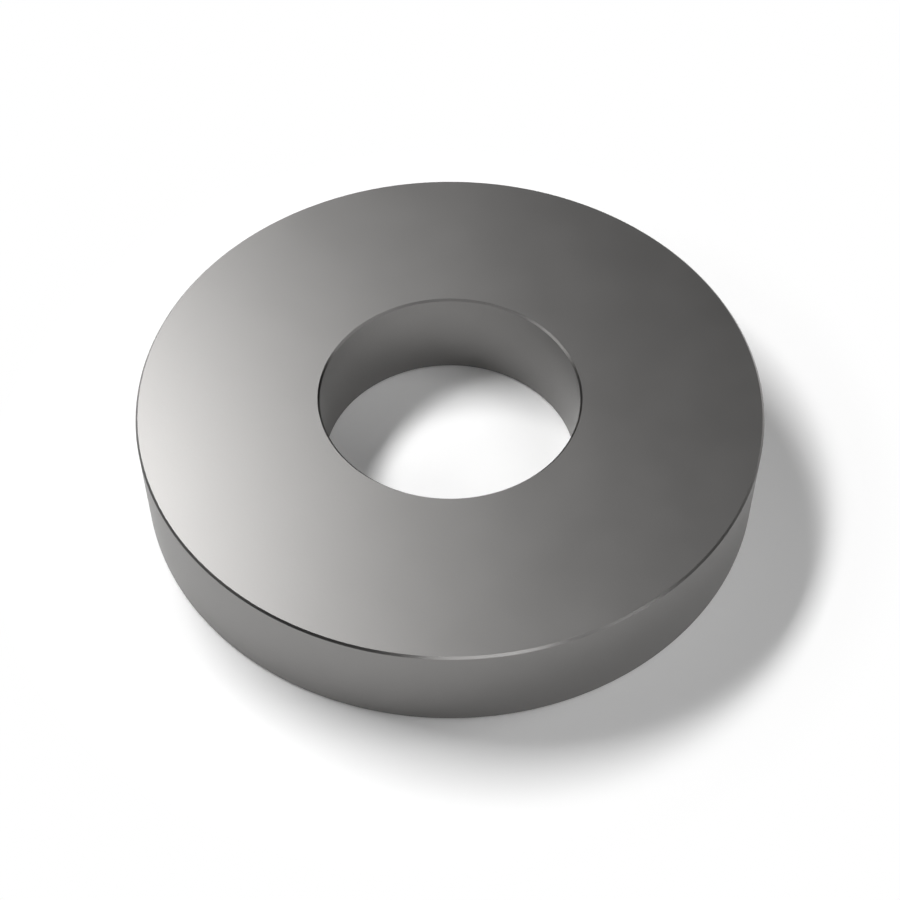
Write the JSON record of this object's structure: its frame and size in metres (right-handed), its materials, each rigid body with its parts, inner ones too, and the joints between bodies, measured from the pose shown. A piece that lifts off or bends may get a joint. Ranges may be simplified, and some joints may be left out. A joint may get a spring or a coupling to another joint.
{
  "type": "thick washer",
  "caption": "Thick plain round washer with a bolt hole, two flat faces and finely chamfered edges; spreads the load under a bolt head or nut.",
  "frame": {"origin": "centre of the bottom face, on the axis of the bolt hole", "axes": "+Z along the axis of the bolt hole, from the bottom face up to the top face; X and Y lie in the bottom face"},
  "size_m": [0.036, 0.036, 0.006],
  "materials": {
    "steel": "satin"
  },
  "bodies": {
    "root": {"washer": "steel"}
  },
  "joints": []
}
